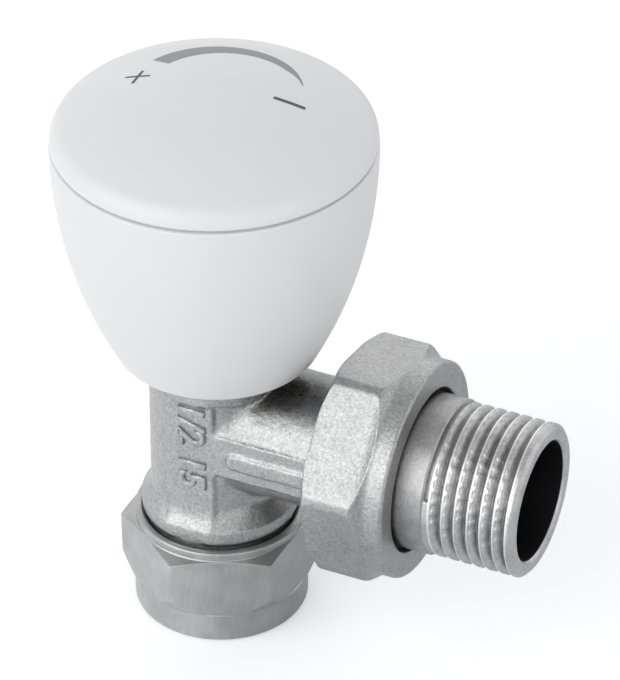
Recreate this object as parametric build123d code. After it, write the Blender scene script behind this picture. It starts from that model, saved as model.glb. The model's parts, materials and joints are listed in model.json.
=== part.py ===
from build123d import *
import os
from math import cos, radians, sqrt, tan

# Angle radiator valve: a forged elbow body with a compression socket for the pipe below, a union with a
# threaded tail for the radiator to the side, and a screw-down headwork under a moulded handwheel.
# Millimetres. +Z runs up the spindle, +X runs out along the tail, and the origin is the middle of the
# compression nut's lower face, where the pipe enters. Screw threads are plain cylinders here.

# Connections
PIPE_D = 15.0
PIPE_CLEARANCE = 0.1
PIPE_STOP_Z = 17.5
BRANCH_Z = 29.8
TAIL_END_X = 46.9
TAIL_THREAD_D = 20.955
TAIL_THREAD_L = 12.5
TAIL_BORE_D = 16.6

# Clearances
RUNNING_FIT = 0.05
SEAT_GAP = 0.1
THREAD_GAP = 0.1
SOCKET_FIT = 0.05

# Compression nut and olive
COMP_AF = 23.7
COMP_TURN = 24.7
COMP_CORNER_ROUND = 0.5
COMP_SKIRT_R = 11.9
COMP_SKIRT_H = 4.5
COMP_FOOT_ROUND = 0.7
COMP_HEX_H = 8.45
COMP_CHAMFER_H = 2.5
COMP_CHAMFER_ANGLE = 30.0
COMP_RIM_R = 11.65
COMP_RIM_H = 2.1
COMP_RIM_ROUND = 0.6
COMP_FLOOR = 3.0
COMP_THREAD_R = 10.2
COMP_MOUTH_R = 10.85
COMP_MOUTH_DEPTH = 0.9
OLIVE_L = 6.4
OLIVE_BAND = 1.6
OLIVE_R = 8.7
OLIVE_EDGE = 0.35

# Forged body
COLLAR_GAP = 0.4
COLLAR_R = 10.65
COLLAR_H = 2.0
COLUMN_R = 9.3
COLUMN_RISE = 14.5
BRANCH_R = 9.0
CROTCH_ROUND = 1.2
PAD_Y = 8.95
PAD_STRIP_W = 6.8
PAD_BAR_W = 6.6
PAD_INNER_ROUND = 0.9
PAD_EDGE_ROUND = 0.4
PAD_PILL_START = 5.3
PAD_PILL_W = 2.3
PAD_PILL_H = 0.35
INLET_R = 5.2
BRANCH_BORE_R = 6.0
CHAMBER_R = 7.4
SEAT_DROP = 5.2
SEAT_LIP_H = 1.0
SEAT_LIP_W = 1.1

# Union nut and tail
UNION_AF = 28.8
UNION_TURN = 19.9
UNION_CORNER_ROUND = 1.2
UNION_BACK_X = 18.8
UNION_HEX_L = 8.6
UNION_CHAMFER_ANGLE = 30.0
UNION_RUNOUT_R = 4.0
UNION_COLLAR_R = 14.9
UNION_COLLAR_L = 2.95
UNION_COLLAR_ROUND = 0.5
UNION_WALL = 2.4
UNION_HOLE_R = 11.3
UNION_THREAD_R = 12.6
UNION_THREAD_INSET = 0.6
TAIL_FLANGE_R = 11.9
TAIL_FLANGE_L = 1.95
TAIL_NECK_R = 10.66
TAIL_RELIEF_W = 0.45
TAIL_RELIEF_DEPTH = 0.5
TAIL_END_CHAMFER = 0.6
TAIL_NOSE_L = 2.4
TAIL_NOSE_R = 9.25
TAIL_RING_R = 0.6
TAIL_RING_PROUD = 0.05

# Headwork
GASKET_T = 0.6
GASKET_INSET = 0.3
BONNET_AF = 18.0
BONNET_HEX_H = 4.0
BONNET_DEPTH = 8.0
BONNET_NECK_R = 7.8
BONNET_TOP_H = 12.1
GUIDE_ROOF = 1.7
JOURNAL_H = 6.0
GLAND_THREAD_R = 6.0
GLAND_AF = 13.0
GLAND_HEAD_H = 2.6
THRUST_T = 0.5
SPINDLE_R = 4.0
SPINDLE_COLLAR_R = 5.8
SPINDLE_COLLAR_H = 1.55
SPINDLE_NECK_R = 3.5
SPINDLE_SQUARE = 4.9
SPINDLE_SQUARE_L = 6.3
SPINDLE_THREAD_R = 3.0
SPINDLE_RING_R = 0.7
SPINDLE_RING_LOW = 2.2
SPINDLE_RING_PITCH = 3.2
LIFT = 4.5
CLOSED_GAP = 0.05
PLUG_R = 6.6
PLUG_RIM = 0.85
PLUG_DISC_T = 2.2
PLUG_STEM_R = 5.0
PLUG_STEM_L = 9.0
PLUG_FLATS = 8.0
PLUG_FLOOR = 0.5
SPINDLE_OVERRUN = 0.65
WASHER_T = 2.0
WASHER_PROUD = 0.6
WASHER_SCREW_R = 1.5
WASHER_SCREW_L = 3.7
WASHER_HEAD_R = 2.6
WASHER_HEAD_H = 1.3

# Handwheel
CUP_FOOT_RISE = 12.2
CUP_FOOT_R = 13.6
CUP_H = 31.8
CUP_R = 21.5
CUP_WALL = 1.8
CUP_FOOT_ROUND = 0.8
CUP_RIM_ROUND = 0.3
CUP_LIP_T = 0.9
SEAM = 0.4
CAP_INSET = 0.1
CAP_SIDE_H = 2.0
CAP_EDGE_ROUND = 0.25
CAP_DOME_R = 45.0
CAP_SHOULDER = 3.0
CAP_WALL = 1.8
SPIGOT_L = 3.5
SPIGOT_T = 1.5
HUB_R = 5.6
HUB_OVERHANG = 0.4
HUB_GAP = 0.6
WEB_T = 2.0
WEB_INSET = 0.8
RIB_COUNT = 6
RIB_T = 1.4
RIB_H = 3.0
CAP_SCREW_R = 1.5
CAP_SCREW_L = 10.0
CAP_SCREW_HEAD_R = 3.0
CAP_SCREW_HEAD_H = 2.2
SCREW_WASHER_R = 4.2
SCREW_WASHER_T = 0.8
SLOT_W = 0.9
SLOT_DEPTH = 0.9

# Levels and radii that follow from the sizes above
HEX_SIDES = 6
HEX_CORNER = 1 / cos(radians(180 / HEX_SIDES))
SAME_PLACE = 0.01
SOCKET_R = PIPE_D / 2 + PIPE_CLEARANCE
OLIVE_Z = COMP_FLOOR + SEAT_GAP
OLIVE_CONE = (OLIVE_L - OLIVE_BAND) / 2
OLIVE_END_R = SOCKET_R + OLIVE_EDGE
BODY_FOOT_Z = OLIVE_Z + OLIVE_CONE + OLIVE_BAND
COMP_HEX_TOP = COMP_SKIRT_H + COMP_HEX_H
COMP_TOP = COMP_HEX_TOP + COMP_RIM_H
COLLAR_Z = COMP_TOP + COLLAR_GAP
COLLAR_TOP = COLLAR_Z + COLLAR_H
BODY_TOP = BRANCH_Z + COLUMN_RISE
SEAT_Z = BRANCH_Z - SEAT_DROP
FLOOR_Z = SEAT_Z - SEAT_LIP_H

UNION_FRONT_X = UNION_BACK_X + UNION_HEX_L + UNION_COLLAR_L
UNION_SHOULDER_X = UNION_FRONT_X - UNION_WALL
TAIL_FLANGE_X = UNION_SHOULDER_X - SEAT_GAP - TAIL_FLANGE_L
UNION_FACE_X = TAIL_FLANGE_X - SEAT_GAP
UNION_THREAD_X = UNION_BACK_X + UNION_THREAD_INSET
TAIL_THREAD_X = TAIL_END_X - TAIL_THREAD_L
TAIL_THREAD_R = TAIL_THREAD_D / 2
TAIL_BORE_R = TAIL_BORE_D / 2
TAIL_TIP_R = TAIL_NOSE_R - TAIL_NOSE_L

BONNET_Z = BODY_TOP + GASKET_T
BONNET_LOW = BONNET_Z - BONNET_DEPTH
BONNET_HEX_TOP = BONNET_Z + BONNET_HEX_H
BONNET_TOP = BONNET_Z + BONNET_TOP_H
GUIDE_TOP = BONNET_Z - GUIDE_ROOF
THRUST_Z = BONNET_Z + JOURNAL_H
SPINDLE_COLLAR_Z = THRUST_Z + THRUST_T + RUNNING_FIT
SPINDLE_COLLAR_TOP = SPINDLE_COLLAR_Z + SPINDLE_COLLAR_H
THRUST_UPPER_Z = SPINDLE_COLLAR_TOP + RUNNING_FIT
GLAND_Z = THRUST_UPPER_Z + THRUST_T
GLAND_TOP = BONNET_TOP + GLAND_HEAD_H
SQUARE_Z = GLAND_TOP + HUB_GAP / 2
SPINDLE_TOP = SQUARE_Z + SPINDLE_SQUARE_L
RING_LOW_Z = GUIDE_TOP + SPINDLE_RING_LOW
RING_HIGH_Z = RING_LOW_Z + SPINDLE_RING_PITCH
RING_MID_R = SPINDLE_R - SPINDLE_RING_R

WASHER_Z = SEAT_Z + LIFT / 2 + CLOSED_GAP
WASHER_TOP = WASHER_Z + WASHER_T
WASHER_R = PLUG_R - PLUG_RIM - SOCKET_FIT
DISC_TOP = WASHER_TOP + PLUG_DISC_T
STEM_TOP = DISC_TOP + PLUG_STEM_L
STEM_FLOOR_Z = DISC_TOP + PLUG_FLOOR
SPINDLE_LOW = STEM_FLOOR_Z + LIFT / 2 + SPINDLE_OVERRUN

CUP_Z = BRANCH_Z + CUP_FOOT_RISE
CUP_TOP = CUP_Z + CUP_H
CUP_ARC_R = (CUP_H**2 + (CUP_R - CUP_FOOT_R) ** 2) / (2 * (CUP_R - CUP_FOOT_R))
CUP_ARC_CENTRE = CUP_R - CUP_ARC_R
CAP_Z = CUP_TOP + SEAM
CAP_R = CUP_R - CAP_INSET
CAP_TOP = CAP_Z + CAP_SIDE_H + CAP_DOME_R - sqrt(CAP_DOME_R**2 - CAP_R**2)
HUB_Z = GLAND_TOP + HUB_GAP
HUB_TOP = SPINDLE_TOP + HUB_OVERHANG
WEB_Z = HUB_Z + WEB_INSET
SPIGOT_R = CUP_ARC_CENTRE + sqrt((CUP_ARC_R - CUP_WALL) ** 2 - SPIGOT_L**2) - SOCKET_FIT


def turned(*outline):
    """Ring or disc turned about the spindle axis from (radius, height) points."""
    return revolve(Plane.XZ * make_face(Polyline(*outline, close=True)), Axis.Z)


def turned_on_branch(*outline):
    """Ring or disc turned about the branch axis from (distance along X, radius) points."""
    shape = revolve(make_face(Polyline(*outline, close=True)), Axis.X)
    return Pos(0, 0, BRANCH_Z) * shape


def rod(radius, low, high):
    """Upright cylinder between two heights."""
    return turned((0, low), (radius, low), (radius, high), (0, high))


def ring(inner, outer, low, high):
    """Upright ring with a square section."""
    return turned((inner, low), (outer, low), (outer, high), (inner, high))


def hexagon(across_flats, low, high, corner_round, turn=0):
    """Upright hexagonal prism with softened corners, turned about Z in degrees."""
    outline = RegularPolygon(across_flats / 2, HEX_SIDES, major_radius=False, rotation=turn)
    outline = fillet(outline.vertices(), corner_round)
    return Pos(0, 0, low) * extrude(outline, high - low)


def compression_nut():
    """Hexagon nut with a raised rim, a round skirt and an inner cone that presses the olive."""
    corner_r = COMP_AF / 2 * HEX_CORNER
    chamfer_low_r = corner_r - COMP_CHAMFER_H * tan(radians(COMP_CHAMFER_ANGLE))
    chamfer_top = COMP_SKIRT_H + COMP_CHAMFER_H
    blank = turned(
        (0, COMP_SKIRT_H),
        (chamfer_low_r, COMP_SKIRT_H),
        (corner_r, chamfer_top),
        (corner_r, COMP_HEX_TOP),
        (0, COMP_HEX_TOP),
    )
    nut = hexagon(COMP_AF, COMP_SKIRT_H, COMP_HEX_TOP, COMP_CORNER_ROUND, COMP_TURN) & blank
    skirt = rod(COMP_SKIRT_R, 0, COMP_SKIRT_H)
    nut += fillet(skirt.edges().sort_by(Axis.Z)[0], COMP_FOOT_ROUND)
    rim = rod(COMP_RIM_R, COMP_HEX_TOP, COMP_TOP)
    nut += fillet(rim.edges().sort_by(Axis.Z)[-1], COMP_RIM_ROUND)
    cone_top = OLIVE_Z + OLIVE_CONE
    bore_r = COMP_THREAD_R + THREAD_GAP
    mouth_z = COMP_TOP - COMP_MOUTH_DEPTH
    return nut - turned(
        (0, 0),
        (SOCKET_R, 0),
        (SOCKET_R, COMP_FLOOR),
        (OLIVE_END_R + SEAT_GAP, COMP_FLOOR),
        (OLIVE_R + SEAT_GAP, cone_top),
        (bore_r, cone_top),
        (bore_r, mouth_z),
        (COMP_MOUTH_R, COMP_TOP),
        (0, COMP_TOP),
    )


def compression_olive():
    """Brass ring with a cone at each end."""
    low_band = OLIVE_Z + OLIVE_CONE
    high_band = low_band + OLIVE_BAND
    top = OLIVE_Z + OLIVE_L
    return turned(
        (SOCKET_R, OLIVE_Z),
        (OLIVE_END_R, OLIVE_Z),
        (OLIVE_R, low_band),
        (OLIVE_R, high_band),
        (OLIVE_END_R, top),
        (SOCKET_R, top),
    )


def pad_outline():
    """T-shaped outline of the forging pad: an upright strip joined to a bar along the branch."""
    strip_h = BODY_TOP - COLLAR_TOP
    strip = Pos(0, COLLAR_TOP + strip_h / 2) * Rectangle(PAD_STRIP_W, strip_h)
    bar = Pos(UNION_THREAD_X / 2, BRANCH_Z) * Rectangle(UNION_THREAD_X, PAD_BAR_W)
    outline = strip + bar
    corner_x = PAD_STRIP_W / 2
    corner_rise = PAD_BAR_W / 2
    on_side = outline.vertices().filter_by(lambda v: abs(v.X - corner_x) < SAME_PLACE)
    corners = on_side.filter_by(lambda v: abs(abs(v.Y - BRANCH_Z) - corner_rise) < SAME_PLACE)
    return Plane.XZ * fillet(corners, PAD_INNER_ROUND)


def body_pad():
    """Flat forging pads on both sides, with softened edges."""
    slab = extrude(pad_outline(), PAD_Y, both=True)
    faces = slab.faces().filter_by(Axis.Y)
    return fillet(faces.edges(), PAD_EDGE_ROUND)


def pad_cut():
    """What the round walls lose so that the pads are flat."""
    return extrude(pad_outline(), COLUMN_R, both=True) - extrude(pad_outline(), PAD_Y, both=True)


def body_pills():
    """Raised round-ended bars on the pad's branch arms."""
    length = UNION_BACK_X - PAD_PILL_START - PAD_PILL_W / 2
    middle = PAD_PILL_START + length / 2
    outline = Pos(middle, BRANCH_Z) * SlotOverall(length, PAD_PILL_W)
    return extrude(Plane.XZ * outline, PAD_Y + PAD_PILL_H, both=True)


def valve_body():
    """Forged elbow: upright column, lower collar and thread, side branch and union thread."""
    column = rod(COLUMN_R, COLLAR_Z, BODY_TOP)
    branch = turned_on_branch((0, 0), (UNION_THREAD_X, 0), (UNION_THREAD_X, BRANCH_R), (0, BRANCH_R))
    body = column + branch
    crotch = body.edges().filter_by(lambda e: e.geom_type == GeomType.BSPLINE)
    body = fillet(crotch, CROTCH_ROUND) - pad_cut()
    sweep_h = COLLAR_R - COLUMN_R
    collar_side = Polyline(
        (0, COLLAR_TOP + sweep_h), (0, COLLAR_Z), (COLLAR_R, COLLAR_Z), (COLLAR_R, COLLAR_TOP)
    )
    collar_sweep = TangentArc((COLLAR_R, COLLAR_TOP), (COLUMN_R, COLLAR_TOP + sweep_h), tangent=(-1, 0))
    collar_roof = Line((COLUMN_R, COLLAR_TOP + sweep_h), (0, COLLAR_TOP + sweep_h))
    collar_face = make_face([*collar_side.edges(), collar_sweep, collar_roof])
    body += revolve(Plane.XZ * collar_face, Axis.Z)
    body += body_pad()
    body += body_pills()
    body += rod(COMP_THREAD_R, BODY_FOOT_Z, COLLAR_Z)
    body += turned_on_branch(
        (UNION_THREAD_X, 0),
        (UNION_FACE_X, 0),
        (UNION_FACE_X, UNION_THREAD_R),
        (UNION_THREAD_X, UNION_THREAD_R),
    )
    body -= turned(
        (0, BODY_FOOT_Z),
        (OLIVE_R + SEAT_GAP, BODY_FOOT_Z),
        (OLIVE_END_R + SEAT_GAP, OLIVE_Z + OLIVE_L + SEAT_GAP),
        (SOCKET_R, OLIVE_Z + OLIVE_L + SEAT_GAP),
        (SOCKET_R, PIPE_STOP_Z),
        (INLET_R, PIPE_STOP_Z),
        (INLET_R, SEAT_Z),
        (INLET_R + SEAT_LIP_W, SEAT_Z),
        (INLET_R + SEAT_LIP_W, FLOOR_Z),
        (CHAMBER_R, FLOOR_Z),
        (CHAMBER_R, BODY_TOP),
        (0, BODY_TOP),
    )
    seat_mouth = TAIL_NOSE_R + SEAT_GAP
    seat_depth = seat_mouth - BRANCH_BORE_R
    bore = turned_on_branch(
        (0, 0),
        (UNION_FACE_X, 0),
        (UNION_FACE_X, seat_mouth),
        (UNION_FACE_X - seat_depth, BRANCH_BORE_R),
        (0, BRANCH_BORE_R),
    )
    inlet_wall = rod(INLET_R + SEAT_LIP_W, PIPE_STOP_Z, SEAT_Z)
    return body - (bore - inlet_wall)


def union_flat_cut(corner_r):
    """Cutter for one flat of the union nut, facing up, with a run-out arc towards the collar."""
    flat = UNION_AF / 2
    rise = corner_r - flat
    flat_end = UNION_BACK_X + UNION_HEX_L - sqrt(2 * UNION_RUNOUT_R * (UNION_COLLAR_R - flat))
    run = sqrt(2 * UNION_RUNOUT_R * rise - rise**2)
    path = [
        Line((UNION_BACK_X, corner_r), (UNION_BACK_X, flat)),
        Line((UNION_BACK_X, flat), (flat_end, flat)),
        TangentArc((flat_end, flat), (flat_end + run, corner_r), tangent=(1, 0)),
        Line((flat_end + run, corner_r), (UNION_BACK_X, corner_r)),
    ]
    return extrude(Plane.XZ * make_face(path), corner_r, both=True)


def union_nut():
    """Forged union nut: hexagon with run-out flats, round front collar and a shoulder that pulls the tail in."""
    corner_r = UNION_AF / 2 * HEX_CORNER
    chamfer_l = (corner_r - UNION_COLLAR_R) * tan(radians(UNION_CHAMFER_ANGLE))
    hex_end = UNION_BACK_X + UNION_HEX_L
    nut = turned_on_branch(
        (UNION_BACK_X, 0),
        (UNION_BACK_X, UNION_COLLAR_R),
        (UNION_BACK_X + chamfer_l, corner_r),
        (hex_end - chamfer_l, corner_r),
        (hex_end, UNION_COLLAR_R),
        (UNION_FRONT_X, UNION_COLLAR_R),
        (UNION_FRONT_X, 0),
    )
    nut = fillet(nut.edges().sort_by(Axis.X)[-1], UNION_COLLAR_ROUND)
    cutter = union_flat_cut(corner_r)
    for i in range(HEX_SIDES):
        turn = UNION_TURN + (i + 1 / 2) * 360 / HEX_SIDES
        nut -= Pos(0, 0, BRANCH_Z) * Rot(turn, 0, 0) * cutter
    nut = fillet(nut.edges().filter_by(Axis.X), UNION_CORNER_ROUND)
    bore_r = UNION_THREAD_R + THREAD_GAP
    return nut - turned_on_branch(
        (UNION_BACK_X, 0),
        (UNION_BACK_X, bore_r),
        (UNION_SHOULDER_X, bore_r),
        (UNION_SHOULDER_X, UNION_HOLE_R),
        (UNION_FRONT_X, UNION_HOLE_R),
        (UNION_FRONT_X, 0),
    )


def tail_ring_centre():
    """Distance along X and radius of the tail O-ring's section, just under the nose cone's face."""
    sink = (TAIL_RING_R - TAIL_RING_PROUD) / sqrt(2)
    middle = TAIL_NOSE_L / 2
    return TAIL_FLANGE_X - middle + sink, TAIL_NOSE_R - middle - sink


def tail_torus(section_r):
    """Torus about the branch axis at the tail O-ring's place."""
    x, radius = tail_ring_centre()
    return Pos(x, 0, BRANCH_Z) * Rot(0, 90, 0) * Torus(radius, section_r)


def tail_piece():
    """Union tail: cone nose, flange, smooth neck, thread relief and the threaded end with a wide bore."""
    tip_x = TAIL_FLANGE_X - TAIL_NOSE_L
    taper_x = TAIL_FLANGE_X + TAIL_FLANGE_L
    relief_x = TAIL_THREAD_X - TAIL_RELIEF_W
    relief_r = TAIL_THREAD_R - TAIL_RELIEF_DEPTH
    tail = turned_on_branch(
        (tip_x, BRANCH_BORE_R),
        (tip_x, TAIL_TIP_R),
        (TAIL_FLANGE_X, TAIL_NOSE_R),
        (TAIL_FLANGE_X, TAIL_FLANGE_R),
        (taper_x, TAIL_FLANGE_R),
        (taper_x, TAIL_NECK_R),
        (relief_x, TAIL_NECK_R),
        (relief_x, relief_r),
        (TAIL_THREAD_X, relief_r),
        (TAIL_THREAD_X, TAIL_THREAD_R),
        (TAIL_END_X - TAIL_END_CHAMFER, TAIL_THREAD_R),
        (TAIL_END_X, TAIL_THREAD_R - TAIL_END_CHAMFER),
        (TAIL_END_X, TAIL_BORE_R),
        (TAIL_THREAD_X, TAIL_BORE_R),
        (taper_x, BRANCH_BORE_R),
    )
    return tail - tail_torus(TAIL_RING_R)


def bonnet():
    """Headwork: threaded plug guide below, hexagon flange, and a neck that takes the gland nut."""
    thread_r = CHAMBER_R - THREAD_GAP
    head = rod(thread_r, BONNET_LOW, BONNET_Z)
    head += hexagon(BONNET_AF, BONNET_Z, BONNET_HEX_TOP, COMP_CORNER_ROUND)
    head += rod(BONNET_NECK_R, BONNET_HEX_TOP, BONNET_TOP)
    head -= plug_stem(BONNET_LOW, GUIDE_TOP, RUNNING_FIT)
    head -= rod(SPINDLE_R + RUNNING_FIT, GUIDE_TOP, THRUST_Z)
    return head - rod(GLAND_THREAD_R + THREAD_GAP, THRUST_Z, BONNET_TOP)


def bonnet_gasket():
    """Flat sealing ring between the body's top and the bonnet's hexagon."""
    return ring(CHAMBER_R + GASKET_INSET, COLUMN_R - GASKET_INSET, BODY_TOP, BONNET_Z)


def gland_nut():
    """Nut that screws into the bonnet's neck and keeps the spindle in."""
    nut = rod(GLAND_THREAD_R, GLAND_Z, BONNET_TOP)
    nut += hexagon(GLAND_AF, BONNET_TOP, GLAND_TOP, COMP_CORNER_ROUND)
    return nut - rod(SPINDLE_NECK_R + RUNNING_FIT, GLAND_Z, GLAND_TOP)


def thrust_washer(low, hole_r):
    """Thin bearing ring above or below the spindle's collar."""
    return ring(hole_r + RUNNING_FIT, GLAND_THREAD_R, low, low + THRUST_T)


def spindle():
    """Turning spindle: screw below, sealed journal, captive collar, neck and square end."""
    shape = rod(SPINDLE_THREAD_R, SPINDLE_LOW, GUIDE_TOP + RUNNING_FIT)
    shape += rod(SPINDLE_R, GUIDE_TOP + RUNNING_FIT, SPINDLE_COLLAR_Z)
    shape += rod(SPINDLE_COLLAR_R, SPINDLE_COLLAR_Z, SPINDLE_COLLAR_TOP)
    shape += rod(SPINDLE_NECK_R, SPINDLE_COLLAR_TOP, SQUARE_Z)
    square = Rectangle(SPINDLE_SQUARE, SPINDLE_SQUARE)
    shape += Pos(0, 0, SQUARE_Z) * extrude(square, SPINDLE_SQUARE_L)
    for height in (RING_LOW_Z, RING_HIGH_Z):
        floor_r = SPINDLE_R - 2 * SPINDLE_RING_R
        shape -= ring(floor_r, SPINDLE_R, height - SPINDLE_RING_R, height + SPINDLE_RING_R)
    return shape - rod(CAP_SCREW_R + SOCKET_FIT, HUB_TOP + SCREW_WASHER_T - CAP_SCREW_L, SPINDLE_TOP)


def spindle_ring(height):
    """O-ring in one of the journal's grooves."""
    return Pos(0, 0, height) * Torus(RING_MID_R, SPINDLE_RING_R)


def plug_stem(low, high, clearance):
    """Round stem with two flats, or the guide round it when a clearance is given."""
    radius = PLUG_STEM_R + clearance
    width = PLUG_FLATS + 2 * clearance
    outline = Circle(radius) & Rectangle(2 * radius, width)
    return Pos(0, 0, low) * extrude(outline, high - low)


def valve_plug():
    """Plug that the spindle screws up and down: washer holder below, flatted stem above."""
    plug = rod(PLUG_R, WASHER_Z + WASHER_PROUD, DISC_TOP)
    plug += plug_stem(DISC_TOP, STEM_TOP, 0)
    plug -= rod(WASHER_R + SOCKET_FIT, WASHER_Z, WASHER_TOP)
    plug -= rod(SPINDLE_THREAD_R + RUNNING_FIT, STEM_FLOOR_Z, STEM_TOP)
    return plug - rod(WASHER_SCREW_R + SOCKET_FIT, WASHER_TOP, WASHER_Z + WASHER_SCREW_L)


def seat_washer():
    """Rubber disc that closes on the body's seat."""
    return ring(WASHER_SCREW_R + SOCKET_FIT, WASHER_R, WASHER_Z, WASHER_TOP)


def slotted_screw(shank_r, shank_low, shank_high, head_r, head_low, head_high, slot_z):
    """Cheese-head screw with a driver slot cut at slot_z."""
    screw = rod(shank_r, shank_low, shank_high) + rod(head_r, head_low, head_high)
    return screw - Pos(0, 0, slot_z) * Box(2 * head_r, SLOT_W, 2 * SLOT_DEPTH)


def washer_screw():
    """Screw that holds the seat washer, with its head under the washer."""
    head_low = WASHER_Z - WASHER_HEAD_H
    shank_top = WASHER_Z + WASHER_SCREW_L - SOCKET_FIT
    return slotted_screw(WASHER_SCREW_R, WASHER_Z, shank_top, WASHER_HEAD_R, head_low, WASHER_Z, head_low)


def cup_arc(offset, low, high):
    """Points of the cup's side curve, moved inwards by offset: low end, middle and high end."""
    radius = CUP_ARC_R - offset
    heights = (low, (low + high) / 2, high)
    return [(CUP_ARC_CENTRE + sqrt(radius**2 - (CUP_TOP - z) ** 2), z) for z in heights]


def cup_hollow(low, high, offset):
    """Turned solid that fills the cup's inside between two heights."""
    side = cup_arc(offset, low, high)
    path = [
        Line((0, low), side[0]),
        ThreePointArc(*side),
        Line(side[-1], (0, high)),
        Line((0, high), (0, low)),
    ]
    return revolve(Plane.XZ * make_face(path), Axis.Z)


def handwheel_cup():
    """Moulded handwheel: curved cup, inner lip for the cap, and a web with a square-holed hub."""
    shell = cup_hollow(CUP_Z, CUP_TOP, 0) - cup_hollow(CUP_Z, CUP_TOP, CUP_WALL)
    foot = shell.edges().group_by(Axis.Z)[0]
    shell = fillet(foot, CUP_FOOT_ROUND)
    rim = shell.edges().group_by(Axis.Z)[-1].sort_by(SortBy.RADIUS)[-1]
    shell = fillet(rim, CUP_RIM_ROUND)
    lip_r = CUP_R - CUP_LIP_T
    shell += ring(CUP_R - CUP_WALL, lip_r, CUP_TOP, CAP_Z)
    hub = rod(HUB_R, HUB_Z, HUB_TOP)
    hub += cup_hollow(WEB_Z, WEB_Z + WEB_T, CUP_WALL / 2)
    outlines = [Rot(0, 0, 360 * i / RIB_COUNT) * rib_outline() for i in range(RIB_COUNT)]
    ribs = Pos(0, 0, WEB_Z + WEB_T) * extrude(Sketch() + outlines, RIB_H)
    hub += ribs & cup_hollow(WEB_Z, CUP_TOP, CUP_WALL / 2)
    socket = Rectangle(SPINDLE_SQUARE + 2 * SOCKET_FIT, SPINDLE_SQUARE + 2 * SOCKET_FIT)
    hub -= Pos(0, 0, HUB_Z) * extrude(socket, HUB_TOP - HUB_Z)
    return shell + hub


def rib_outline():
    """One radial rib on the web, from the hub outwards past the wall."""
    length = CUP_R - HUB_R / 2
    return Pos(HUB_R / 2 + length / 2, 0) * Rectangle(length, RIB_T)


def cap_dome(radius, low, dome_top, dome_r, shoulder):
    """Solid of the cap's outside or inside: straight side, rounded shoulder and shallow dome."""
    edge_z = dome_top - dome_r + sqrt(dome_r**2 - radius**2)
    half = radius / 2
    half_z = dome_top - dome_r + sqrt(dome_r**2 - half**2)
    path = [
        Line((0, low), (radius, low)),
        Line((radius, low), (radius, edge_z)),
        ThreePointArc((radius, edge_z), (half, half_z), (0, dome_top)),
        Line((0, dome_top), (0, low)),
    ]
    face = make_face(path)
    corner = face.vertices().sort_by_distance((radius, edge_z, 0))[0]
    face = fillet(corner, shoulder)
    return revolve(Plane.XZ * face, Axis.Z)


def handwheel_cap():
    """Snap-in domed cap with a spigot ring that fits inside the cup."""
    cap = cap_dome(CAP_R, CAP_Z, CAP_TOP, CAP_DOME_R, CAP_SHOULDER)
    cap = fillet(cap.edges().group_by(Axis.Z)[0], CAP_EDGE_ROUND)
    cap += rod(SPIGOT_R, CAP_Z - SPIGOT_L, CAP_Z)
    inner_r = SPIGOT_R - SPIGOT_T
    inner_round = CAP_SHOULDER - CAP_WALL / 2
    return cap - cap_dome(inner_r, CAP_Z - SPIGOT_L, CAP_TOP - CAP_WALL, CAP_DOME_R - CAP_WALL, inner_round)


def screw_washer():
    """Washer under the handwheel screw's head, on top of the hub."""
    return ring(CAP_SCREW_R + SOCKET_FIT, SCREW_WASHER_R, HUB_TOP, HUB_TOP + SCREW_WASHER_T)


def handwheel_screw():
    """Screw that holds the handwheel on the spindle's square end."""
    seat = HUB_TOP + SCREW_WASHER_T
    top = seat + CAP_SCREW_HEAD_H
    shank_low = seat - CAP_SCREW_L + SOCKET_FIT
    return slotted_screw(CAP_SCREW_R, shank_low, seat, CAP_SCREW_HEAD_R, seat, top, top)


PIECES = {
    "valve_body": valve_body(),
    "compression_nut": compression_nut(),
    "compression_olive": compression_olive(),
    "union_nut": union_nut(),
    "tail_piece": tail_piece(),
    "tail_o_ring": tail_torus(TAIL_RING_R - SOCKET_FIT / 2),
    "bonnet": bonnet(),
    "bonnet_gasket": bonnet_gasket(),
    "gland_nut": gland_nut(),
    "thrust_washer_lower": thrust_washer(THRUST_Z, SPINDLE_R),
    "thrust_washer_upper": thrust_washer(THRUST_UPPER_Z, SPINDLE_NECK_R),
    "spindle": spindle(),
    "spindle_o_ring_lower": spindle_ring(RING_LOW_Z),
    "spindle_o_ring_upper": spindle_ring(RING_HIGH_Z),
    "valve_plug": valve_plug(),
    "seat_washer": seat_washer(),
    "washer_screw": washer_screw(),
    "handwheel_cup": handwheel_cup(),
    "handwheel_cap": handwheel_cap(),
    "handwheel_screw": handwheel_screw(),
    "screw_washer": screw_washer(),
}

os.makedirs("parts", exist_ok=True)
for name, shape in PIECES.items():
    export_step(shape, f"parts/{name}.step")
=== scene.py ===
import json
from math import acos, cos, pi, radians, sin, sqrt, tan

import bmesh
import bpy
import numpy as np
from mathutils import Matrix, Vector


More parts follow.
